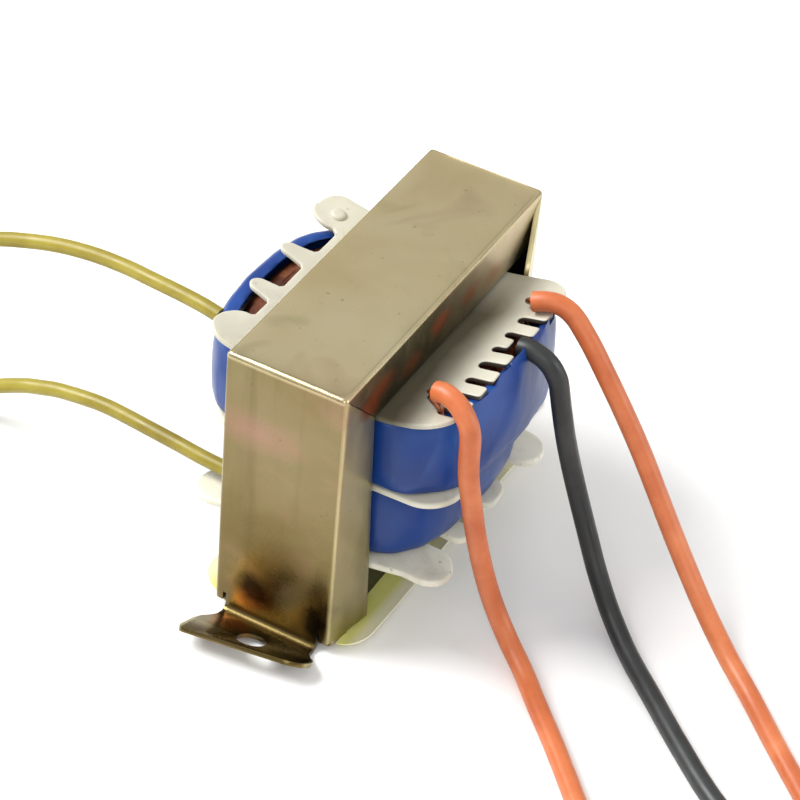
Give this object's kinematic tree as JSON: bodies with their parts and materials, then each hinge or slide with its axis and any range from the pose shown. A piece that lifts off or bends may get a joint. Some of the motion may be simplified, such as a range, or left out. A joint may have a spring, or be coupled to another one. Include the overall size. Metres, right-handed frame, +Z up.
{
  "type": "chassis mount mains transformer",
  "caption": "Small laminated-core mains transformer in a folded steel strap frame with ears, split bobbin with taped windings and flexible leads.",
  "frame": {"origin": "centre of the two ears' underside, midway between the two mounting holes, on the surface that the ears rest on", "axes": "+X along the strap, from one mounting ear to the other; +Y towards the two thin yellow leads; +Z up from the ears to the strap's top"},
  "size_m": [0.087, 0.1728, 0.0345],
  "materials": {
    "passivated_steel": "satin",
    "core_steel": "satin",
    "white_nylon": "satin",
    "copper": "gloss",
    "blue_tape": "gloss",
    "insulating_film": "satin",
    "orange_jacket": "satin",
    "black_jacket": "satin",
    "yellow_jacket": "satin",
    "tinned_copper": "satin",
    "clear_tie": "satin"
  },
  "bodies": {
    "root": {"frame": "passivated_steel", "e_laminations": "core_steel", "i_laminations": "core_steel", "bobbin": "white_nylon", "lower_winding": "copper", "upper_winding": "copper", "lower_tape": "blue_tape", "upper_tape": "blue_tape", "base_film": "insulating_film", "orange_lead_1": "orange_jacket", "orange_lead_1_coil": "orange_jacket", "orange_lead_1_conductor": "tinned_copper", "orange_lead_1_tie": "clear_tie", "black_lead": "black_jacket", "black_lead_coil": "black_jacket", "black_lead_conductor": "tinned_copper", "black_lead_tie": "clear_tie", "orange_lead_2": "orange_jacket", "orange_lead_2_coil": "orange_jacket", "orange_lead_2_conductor": "tinned_copper", "orange_lead_2_tie": "clear_tie", "yellow_lead_1": "yellow_jacket", "yellow_lead_1_coil": "yellow_jacket", "yellow_lead_1_conductor": "tinned_copper", "yellow_lead_1_tie": "clear_tie", "yellow_lead_2": "yellow_jacket", "yellow_lead_2_coil": "yellow_jacket", "yellow_lead_2_conductor": "tinned_copper", "yellow_lead_2_tie": "clear_tie"}
  },
  "joints": []
}
